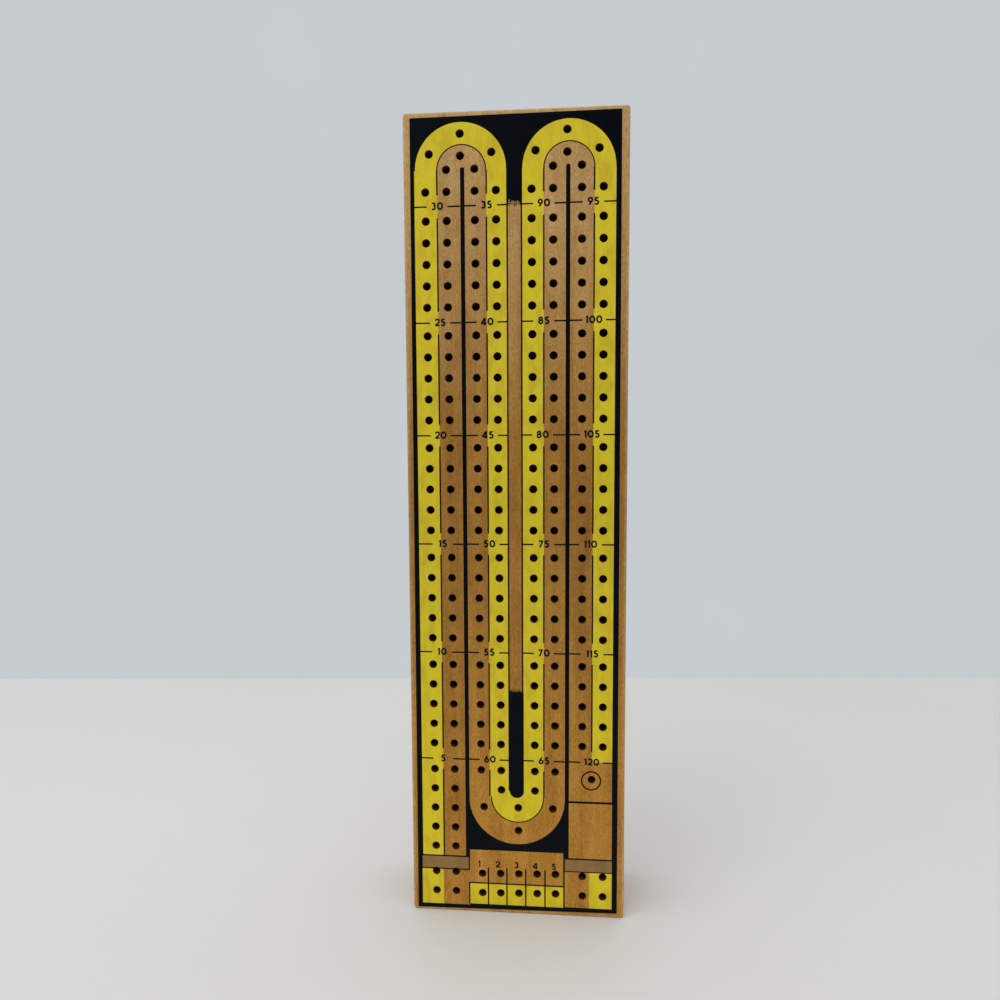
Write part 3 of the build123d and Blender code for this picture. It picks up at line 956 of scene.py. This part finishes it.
def frayed(left, right, low, high):
    """The bare spine, its two ends broken up where the screen stopped, and specks beyond them."""
    chance = random.Random(11)
    teeth, specks = 22, 34
    bites = ((-0.5, 0.3), (0.3, 2.2))  # of even and odd teeth, into the spine
    speck_size, spray, inset = (0.1, 0.24), 0.5, 0.3
    outline, loose = [], []
    for z, way in ((low, 1), (high, -1)):
        for tooth in range(teeth + 1):
            x = left + (right - left) * tooth / teeth
            bite = chance.uniform(*bites[tooth % 2])
            outline.append((x if way > 0 else left + right - x, z + way * bite))
        for _ in range(specks):
            x = chance.uniform(left + inset, right - inset)
            size = chance.uniform(*speck_size)
            away = z - way * abs(chance.gauss(0.0, spray))
            loose.append(rectangle(x - size, x + size, away - size, away + size))
    return [outline] + loose


def fields():
    """The windows in the black panel: bare wood, yellow lanes and plates."""
    found = [(PANEL, list(PANEL_CORNERS))]
    left, right = FIELD
    foot, inner_left, inner_right = DIP[1], *TRACK_EDGES
    for edges, arch in (((left, inner_left), ARCHES[0]), ((inner_right, right), ARCHES[1])):
        found.append((BARE, rectangle(*edges, foot, arch[1])))
        found.append((BARE, arc(*arch, 0, 180)))
    found.append((BARE, rectangle(left, BARS[0][1], LANE_FOOT, foot)))
    found.append((BARE, arc(*DIP, 180, 360)))
    found += [(BARE, outline) for outline in frayed(*SPINE)]
    found += [(BARE, rectangle(*box)) for box in (GAME_FIELD, LABEL_PLATE, GAMES_BLOCK)]
    box_left, box_middle, box_right, low, high = START_BOXES
    found.append((BARE, rectangle(box_middle, box_right, low, high)))
    found.append((YELLOW, rectangle(box_left, box_middle, low, high)))
    box_left, box_middle, box_right, low, high = CORNER_BOXES
    found.append((BARE, rectangle(box_left, box_middle, low, high)))
    found.append((YELLOW, rectangle(box_middle, box_right, low, high)))
    found.append((YELLOW, rectangle(*GAMES_YELLOW)))
    found += [(PLATE, rectangle(*box)) for box in (START_PLATE, CORNER_PLATE)]
    lanes = (
        (left, LANE_LINES[0], LANE_FOOT, ARCHES[0][1]),
        (LANE_LINES[1], inner_left, foot, ARCHES[0][1]),
        (inner_right, LANE_LINES[2], foot, ARCHES[1][1]),
        (LANE_LINES[3], right, LAST_COUNT_Z, ARCHES[1][1]),
    )
    found += [(YELLOW, rectangle(*lane)) for lane in lanes]
    found += [(YELLOW, half_ring(arch, line, 0, 180)) for arch, line in zip(ARCHES, ARCH_LINES)]
    found.append((YELLOW, arc(*DIP_LINE, 180, 360)))
    # Behind the slot's round end, above the bottom bend
    found.append((YELLOW, rectangle(inner_left, inner_right, foot, SLOT[1])))
    return found


def lines(settings):
    """Everything that is drawn in black over the fields."""
    hairline, pen, height = (getattr(settings, name) / MM for name in ("hairline", "pen", "digit"))
    patches = []
    for (low, high), foot in zip(BARS, (START_PLATE[3], CORNER_PLATE[3])):
        middle, half = (low + high) / 2, (high - low) / 2
        patches.append(rectangle(low, high, foot, BAR_TOP - half))
        patches.append(arc(middle, BAR_TOP - half, half, 0, 180, CAP_STEPS))
    patches.append(rectangle(SLOT[0] - SLOT[2], SLOT[0] + SLOT[2], SLOT[1], SPINE[2]))
    patches.append(arc(*SLOT, 180, 360, SLOT_STEPS))
    for line in ARCH_LINES:
        patches += stroke(arc(*line, 0, 180), hairline * FINE)
    patches += stroke(arc(*DIP_LINE, 180, 360), hairline * FINE)
    patches += stroke(ring_round(GAME_RING[:2], GAME_RING[2], RING_SIDES), hairline, True)
    for column, x in enumerate(LANE_LINES):
        top = ARCH_LINES[column // 2][1]
        for row, level in enumerate(LABEL_ROWS):
            z = level + ROW_RISE * x
            if z + LINE_GAP < top:
                patches += stroke([(x, top), (x, z + LINE_GAP)], hairline)
            top = z - LINE_GAP
            number = COUNTS[column][row]
            middle = x + NUMBER_SHIFTS.get(number, 0.0)
            patches += number_patches(str(number), middle, z + NUMBER_RISE, height, pen)
            gap = TICK_GAPS[len(str(number))]
            left, right = COUNT_EDGES[column]
            patches += stroke([(left, z), (middle - gap, z)], hairline)
            patches += stroke([(middle + gap, z), (right, z)], hairline)
        if top > LINE_FEET[column]:
            patches += stroke([(x, top), (x, LINE_FEET[column])], hairline)
    low, high = GAMES_YELLOW[2:]
    patches += stroke([(x, high) for x in GAMES_SHELF], hairline)
    for x in GAMES_LINES:
        patches += stroke([(x, low), (x, GAMES_LINE_TOP)], hairline)
    for x, top in zip(GAMES_SIDES, (high, GAMES_BLOCK[3])):
        patches += stroke([(x, low), (x, top)], hairline)
    for number, x in enumerate(GAMES_DIGITS):
        place = (x, GAMES_DIGIT_Z)
        patches += number_patches(str(number + 1), *place, height * GAMES_DIGIT, pen * GAMES_PEN)
    return [(LINE, patch) for patch in patches]


def printed_sheet(settings, sizes):
    """Cuts the sheet along every outline and sorts its patches by ink."""
    reach = (sizes.diameter / 2 + sizes.lip) / MM + INK_GAP
    outlines = fields() + lines(settings)
    outlines += [(HOLE, ring_round(hole, reach, sizes.sides)) for hole in peg_holes(sizes)]
    corners, faces, known = [], [], {}
    for _, outline in outlines:
        face = []
        for x, z in outline:
            key = (round(x, 5), round(z, 5))
            if key not in known:
                known[key] = len(corners)
                corners.append(Vector(key))
            if not face or face[-1] != known[key]:
                face.append(known[key])
        faces.append(face)
    points, _, patches, _, _, sources = delaunay_2d_cdt(corners, [], faces, 1, MERGE, True)
    sorted_patches = {ink_name: [] for ink_name in INK_OF.values()}
    for patch, source in zip(patches, sources):
        top = max(outlines[number][0] for number in source)
        if top in INK_OF:
            sorted_patches[INK_OF[top]].append(patch)
    return points, sorted_patches


def film(name, points, patches, proud):
    """A closed layer of ink on the playing face, from patches of the sheet."""
    shape = bmesh.new()
    corners = {}

    def corner(number, top):
        key = (number, top)
        if key not in corners:
            x, z = points[number]
            y = FACE_Y - proud if top else FACE_Y + INK_SINK
            corners[key] = shape.verts.new((x * MM, y, z * MM))
        return corners[key]

    edges = set()
    for patch in patches:
        (x0, z0), (x1, z1), (x2, z2) = (points[number] for number in patch[:3])
        if (x1 - x0) * (z2 - z0) < (x2 - x0) * (z1 - z0):
            patch = patch[::-1]
        shape.faces.new([corner(number, True) for number in patch])
        shape.faces.new([corner(number, False) for number in reversed(patch)])
        edges.update(zip(patch, patch[1:] + patch[:1]))
    for first, second in edges:
        if (second, first) not in edges:
            shape.faces.new(
                [corner(first, False), corner(second, False), corner(second, True), corner(first, True)]
            )
    return as_object(name, shape)


# ---------------------------------------------------------------- where the brads are driven


def middle_pair(y, z):
    """Two brads from behind, one each side of a piece's middle."""
    return [((side * MIDDLE_BRAD_X, y, z), (0, 1, 0)) for side in (-1, 1)]


def back_brads():
    """Through the back panel, into both rails and the end block."""
    panel_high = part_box("back_panel")[1]
    rail_x = (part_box("side_rail_right")[0].x + panel_high.x) / 2
    step = (CAD_HIGH.z - 2 * BACK_BRAD_END) / (BACK_BRADS_PER_RAIL - 1)
    places = [
        ((side * rail_x, panel_high.y, BACK_BRAD_END + number * step), (0, 1, 0))
        for side in (-1, 1)
        for number in range(BACK_BRADS_PER_RAIL)
    ]
    return places + middle_pair(panel_high.y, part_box("end_block")[1].z / 2)


def end_brads():
    """Through both rails into the end block."""
    low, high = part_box("end_block")
    rows = (low.y + CASE_BRAD_EDGE, high.y - CASE_BRAD_EDGE)
    return [((side * CAD_HIGH.x, y, high.z / 2), (side, 0, 0)) for side in (-1, 1) for y in rows]


def drawer_brads():
    """At the drawer's four corners, and through its bottom into the rear."""
    side_low, side_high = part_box("drawer_side_right")
    rear_low, rear_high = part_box("drawer_rear")
    rear_z = (rear_low.z + rear_high.z) / 2
    front_z = (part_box("drawer_front")[0].z + side_high.z) / 2
    places = [
        ((side * side_high.x, y, z), (side, 0, 0))
        for side in (-1, 1)
        for y in (side_low.y + DRAWER_BRAD_EDGE, rear_high.y - DRAWER_BRAD_EDGE)
        for z in (front_z, rear_z)
    ]
    return places + middle_pair(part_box("drawer_bottom")[1].y, rear_z)


# ---------------------------------------------------------------- operators


class CRIBBAGE_OT_playing_board(bpy.types.Operator):
    """Drills every peg hole in the rounded playing board"""

    bl_idname = "cribbage.playing_board"
    bl_label = "Playing Board"

    def execute(self, context):
        scene = context.scene
        sizes, colours = scene.cribbage_drilling, scene.cribbage_wood
        shape = bmesh.new()
        bmesh.ops.create_cube(shape, size=1.0)
        size = BOARD_HIGH - BOARD_LOW
        middle = (BOARD_HIGH + BOARD_LOW) / 2
        bmesh.ops.scale(shape, vec=size, verts=shape.verts)
        bmesh.ops.translate(shape, vec=middle, verts=shape.verts)
        upright = [e for e in shape.edges if abs(e.verts[0].co.y - e.verts[1].co.y) > WELD]
        rounded_edges(shape, upright, CORNER_ROUND, 6)
        for y, width, segments in ((BOARD_LOW.y, FACE_ROUND, 5), (BOARD_HIGH.y, BACK_EASE, 1)):
            rim = [e for e in shape.edges if all(abs(v.co.y - y) < WELD for v in e.verts)]
            rounded_edges(shape, rim, width, segments)
        bmesh.ops.recalc_face_normals(shape, faces=shape.faces)
        board = as_object("drilled_playing_board", shape)
        board.data.materials.append(
            wood(
                "varnished_board_wood",
                colours.board_pale,
                colours.board_deep,
                "Z",
                1.0,
                faded=(colours.faded_pale, colours.faded_deep),
                # The board's rim gets a painted highlight
                worn=colours.worn,
            )
        )
        # Hole walls: rough drilled wood, darkened further with painted shade
        walls = wood("shaded_drilled_wall_wood", colours.bore, shaded(colours.bore, 0.7), "Z", 1.0, 0.7)
        places = [(Vector((x * MM, FACE_Y, z * MM)), (0, -1, 0)) for x, z in peg_holes(sizes)]
        values = {"Diameter": sizes.diameter, "Depth": sizes.depth, "Lip": sizes.lip}
        values |= {"Sides": sizes.sides, "Material": walls}
        drills = repeated("peg_hole_drills", drilled_holes_tree(), places, values)
        cut = board.modifiers.new("drilling", "BOOLEAN")
        cut.operation, cut.solver, cut.object = "DIFFERENCE", "MANIFOLD", drills
        cut.material_mode = "TRANSFER"
        plain_mesh(board)
        bpy.data.objects.remove(drills)
        finished(crisp(board), "case", "board_wood", ("playing_board",))
        return {"FINISHED"}


class CRIBBAGE_OT_print(bpy.types.Operator):
    """Prints the lanes, lines, numbers and bare plates on the playing face"""

    bl_idname = "cribbage.print"
    bl_label = "Print"

    def execute(self, context):
        scene = context.scene
        settings = scene.cribbage_print
        points, patches = printed_sheet(settings, scene.cribbage_drilling)
        grain = scene.cribbage_wood.board_deep
        yellow, deep, plate = settings.yellow, settings.yellow_deep, settings.plate
        black, near_foot = settings.black, settings.black_dusty
        layers = (
            ("yellow", settings.yellow_proud, (yellow, deep, shaded(deep, 0.55), 0.26, 0.15)),
            ("black", settings.black_proud, (black, shaded(black, 0.6), grain, 0.15, 0.05, near_foot)),
            ("plate", settings.yellow_proud, (plate, shaded(plate, 0.8), grain, 0.22, 0.2)),
        )
        for name, proud, look in layers:
            layer = film(f"{name}_print", points, patches[name], proud)
            finished(layer, "case", "board_wood", (), ink(f"{name}_ink", *look))
        return {"FINISHED"}


class CRIBBAGE_OT_case(bpy.types.Operator):
    """Eases the edges of the rails, the end block and the back panel"""

    bl_idname = "cribbage.case"
    bl_label = "Case"

    def execute(self, context):
        colours = context.scene.cribbage_wood
        pale, deep = colours.case_pale, colours.case_deep
        solid = (
            ("side_rail_left", "rail_left", "Z", 21.0),
            ("side_rail_right", "rail_right", "Z", 34.0),
            ("end_block", "end_block", "X", 47.0),
        )
        for node, name, grain, seed in solid:
            material = wood(f"{name}_wood", pale, deep, grain, seed)
            softened(node, f"eased_{name}", CASE_EASE, "case", "case_wood", material)
        low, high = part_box("back_panel")
        material = plywood("back_plywood", colours.drawer_pale, colours.drawer_deep, low.y, high.y, 51.0)
        softened("back_panel", "eased_back_panel", CASE_EASE, "case", "back_plywood", material)
        return {"FINISHED"}


class CRIBBAGE_OT_drawer(bpy.types.Operator):
    """Eases the edges of the drawer's front, sides, rear, dividers and bottom"""

    bl_idname = "cribbage.drawer"
    bl_label = "Drawer"

    def execute(self, context):
        colours = context.scene.cribbage_wood
        material = wood("drawer_front_wood", colours.case_pale, colours.case_deep, "X", 63.0)
        name, ease = "eased_drawer_front", DRAWER_FRONT_EASE
        softened("drawer_front", name, ease, "drawer", "case_wood", material)
        pale, deep = colours.drawer_pale, colours.drawer_deep
        plain = (
            ("drawer_side_left", "Z", 71.0),
            ("drawer_side_right", "Z", 76.0),
            ("drawer_rear", "X", 83.0),
            ("card_divider", "X", 88.0),
            ("peg_divider", "X", 94.0),
        )
        for node, grain, seed in plain:
            material = wood(f"{node}_wood", pale, deep, grain, seed, 0.55)
            softened(node, f"eased_{node}", DRAWER_EASE, "drawer", "drawer_wood", material)
        low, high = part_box("drawer_bottom")
        material = plywood("bottom_plywood", pale, deep, low.y, high.y, 99.0)
        name, ease = "eased_drawer_bottom", DRAWER_BOTTOM_EASE
        softened("drawer_bottom", name, ease, "drawer", "back_plywood", material)
        return {"FINISHED"}


class CRIBBAGE_OT_brads(bpy.types.Operator):
    """Drives the wire brads of the back, the end block and the drawer"""

    bl_idname = "cribbage.brads"
    bl_label = "Brads"

    def execute(self, context):
        sizes = context.scene.cribbage_brads
        tree = brads_tree()
        material = metal("brad_steel", STEEL, 0.45, 0.6)
        rows = (
            ("back_brads", back_brads(), BACK_BRAD_LENGTH, "case"),
            ("end_brads", end_brads(), END_BRAD_LENGTH, "case"),
            ("drawer_brads", drawer_brads(), DRAWER_BRAD_LENGTH, "drawer"),
        )
        for node, places, deep, body in rows:
            values = {"Head": sizes.head, "Dome": sizes.dome, "Shank": sizes.shank}
            values |= {"Length": deep, "Material": material}
            heads = repeated(f"domed_{node}", tree, places, values)
            finished(crisp(heads, degrees=50), body, "brad_steel", (node,))
        return {"FINISHED"}


class CRIBBAGE_OT_pegs(bpy.types.Operator):
    """Turns the three brass and the three nickel pegs"""

    bl_idname = "cribbage.pegs"
    bl_label = "Pegs"

    def execute(self, context):
        sizes = context.scene.cribbage_pegs
        tree = peg_tree()
        inside = -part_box("drawer_side_left")[1].x
        whole = inside - 2 * sizes.slack
        shank = sizes.shank_diameter / 2
        lean = math.atan2(
            (sizes.head_diameter - sizes.shank_diameter) / 2,
            whole - sizes.head_length - sizes.tip_length,
        )
        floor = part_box("peg_divider")[1].z
        z = floor + shank * math.cos(lean) - sizes.tip_length * math.sin(lean)
        values = {
            "Length": whole,
            "Head Length": sizes.head_length,
            "Head": sizes.head_diameter,
            "Shank": sizes.shank_diameter,
            "Tip": sizes.tip_diameter,
            "Tip Length": sizes.tip_length,
            "Bevel": sizes.bevel,
        }
        sets = (("brass", -1, sizes.brass, 0.45), ("nickel", 1, sizes.nickel, 0.25))
        for finish, side, colour, tarnish in sets:
            values["Material"] = metal(f"{finish}_turned", colour, 0.22, tarnish)
            facing = (side * math.cos(lean), 0, math.sin(lean))
            for number in range(1, PEGS_PER_SET + 1):
                low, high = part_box(f"peg_{finish}_{number}")
                point = (side * sizes.slack, (low.y + high.y) / 2, z)
                peg = repeated(f"turned_peg_{finish}_{number}", tree, [(point, facing)], values)
                finished(crisp(peg), "drawer", f"peg_{finish}", (f"peg_{finish}_{number}",))
        return {"FINISHED"}


class CRIBBAGE_OT_stage(bpy.types.Operator):
    """Sets the pale table, the backdrop, the lamps and the camera"""

    bl_idname = "cribbage.stage"
    bl_label = "Stage"

    def execute(self, context):
        scene = context.scene
        settings = scene.cribbage_stage
        turn = Matrix.Rotation(TABLE_TURN, 4, "Z")
        self.sheet("pale_table", TABLE, turn, settings.floor, 0.0)
        raised = Matrix.Rotation(math.pi / 2, 4, "X")
        upright = turn @ Matrix.Translation((0, WALL_DISTANCE, 0)) @ raised
        self.sheet("pale_backdrop", WALL, upright, settings.wall, 1.0)
        self.lamps(scene, settings)
        self.camera(scene)
        return {"FINISHED"}

    def sheet(self, name, edges, place, colour, glow):
        """A flat stage sheet with a faint mottle, lit by the lamps or by a glow of its own."""
        mesh = bpy.data.meshes.new(name)
        mesh.from_pydata([(x, y, 0.0) for x, y in rectangle(*edges)], [], [range(4)])
        mesh.transform(place)
        material, tree, shader, where = new_finish(name, 0.75, 0.2)
        mottle, weave = (
            add_node(tree, "ShaderNodeTexNoise", {"Vector": where, "Scale": scale, "Detail": 2.0})
            for scale in (4.0, 160.0)
        )
        tone = maths(tree, "ADD", mottle.outputs[0], times(tree, weave.outputs[0], 0.3))
        shade = ramp(tree, tone, [(0.3, shaded(colour, 0.97)), (1.0, shaded(colour, 1.02))])
        if glow:
            light = add_node(tree, "ShaderNodeEmission", {"Color": shade, "Strength": glow})
            tree.links.new(light.outputs[0], tree.nodes["Material Output"].inputs[0])
        else:
            tree.links.new(shade, shader.inputs["Base Color"])
        thing = new_object(name, mesh)
        mesh.materials.append(material)

    def lamps(self, scene, settings):
        """An even room light, a large soft lamp in front, high on the left, and one overhead."""
        world = bpy.data.worlds.new("soft_room")
        world.use_nodes = True
        scene.world = world
        tree = world.node_tree
        room = tree.nodes["Background"]
        room.inputs["Color"].default_value = (1.0, 1.0, 1.0, 1.0)
        room.inputs["Strength"].default_value = settings.world
        seen = add_node(tree, "ShaderNodeBackground", {"Color": (*settings.wall, 1.0), "Strength": 1.0})
        path = tree.nodes.new("ShaderNodeLightPath")
        shown = path.outputs["Is Camera Ray"]
        for ray in ("Is Glossy Ray", "Is Transmission Ray"):
            shown = maths(tree, "MAXIMUM", shown, path.outputs[ray])
        mixed = add_node(tree, "ShaderNodeMixShader", {0: shown, 1: room.outputs[0], 2: seen.outputs[0]})
        tree.links.new(mixed.outputs[0], tree.nodes["World Output"].inputs[0])
        self.lamp(scene, "soft_lamp", settings.lamp, **SOFT_LAMP)
        self.lamp(scene, "top_lamp", settings.top_lamp, **TOP_LAMP)

    def lamp(self, scene, name, power, place, target, size):
        """One rectangular soft lamp, turned to what it lights."""
        data = bpy.data.lights.new(name, "AREA")
        data.shape = "RECTANGLE"
        data.size, data.size_y = size
        data.energy = power
        lamp = bpy.data.objects.new(name, data)
        scene.collection.objects.link(lamp)
        lamp.location = place
        lamp.rotation_euler = (Vector(target) - Vector(place)).to_track_quat("-Z", "Y").to_euler()

    def camera(self, scene):
        """The photograph's camera: in front of the box, above its middle and a little to its right."""
        data = bpy.data.cameras.new("viewpoint")
        data.sensor_width, data.lens = CAMERA_SENSOR, CAMERA_LENS
        data.clip_start, data.clip_end = 0.02, 20.0
        camera = bpy.data.objects.new("viewpoint", data)
        scene.collection.objects.link(camera)
        ahead = Vector(CAMERA_AHEAD).normalized()
        right = Vector(CAMERA_DOWN).cross(ahead).normalized()
        up = right.cross(ahead).normalized()
        turn = Matrix((right, up, -ahead)).transposed()
        camera.matrix_world = Matrix.Translation(CAMERA_PLACE) @ turn.to_4x4()
        scene.camera = camera
        scene.view_settings.view_transform = "Standard"


class CRIBBAGE_PT_pieces(bpy.types.Panel):
    """The pieces of the cribbage box, in the order in which they are made"""

    bl_label = "Cribbage Box"
    bl_idname = "CRIBBAGE_PT_pieces"
    bl_space_type = "VIEW_3D"
    bl_region_type = "UI"
    bl_category = "Cribbage Box"

    def draw(self, context):
        for operator in OPERATORS:
            self.layout.operator(operator.bl_idname)
        for name, group in SETTINGS.items():
            box = self.layout.box()
            for key in group.__annotations__:
                box.prop(getattr(context.scene, name), key)


OPERATORS = (
    CRIBBAGE_OT_playing_board,
    CRIBBAGE_OT_print,
    CRIBBAGE_OT_case,
    CRIBBAGE_OT_drawer,
    CRIBBAGE_OT_brads,
    CRIBBAGE_OT_pegs,
    CRIBBAGE_OT_stage,
)


def register():
    """Registers the settings, the operators and the panel."""
    for name, group in SETTINGS.items():
        bpy.utils.register_class(group)
        setattr(bpy.types.Scene, name, PointerProperty(type=group))
    for kind in (*OPERATORS, CRIBBAGE_PT_pieces):
        bpy.utils.register_class(kind)


def unregister():
    """Takes the panel, the operators and the settings away again."""
    for kind in (CRIBBAGE_PT_pieces, *reversed(OPERATORS)):
        bpy.utils.unregister_class(kind)
    for name, group in SETTINGS.items():
        delattr(bpy.types.Scene, name)
        bpy.utils.unregister_class(group)


def main():
    """Builds every piece in order."""
    register()
    bpy.ops.cribbage.playing_board()
    bpy.ops.cribbage.print()
    bpy.ops.cribbage.case()
    bpy.ops.cribbage.drawer()
    bpy.ops.cribbage.brads()
    bpy.ops.cribbage.pegs()
    bpy.ops.cribbage.stage()


if __name__ == "__main__":
    main()
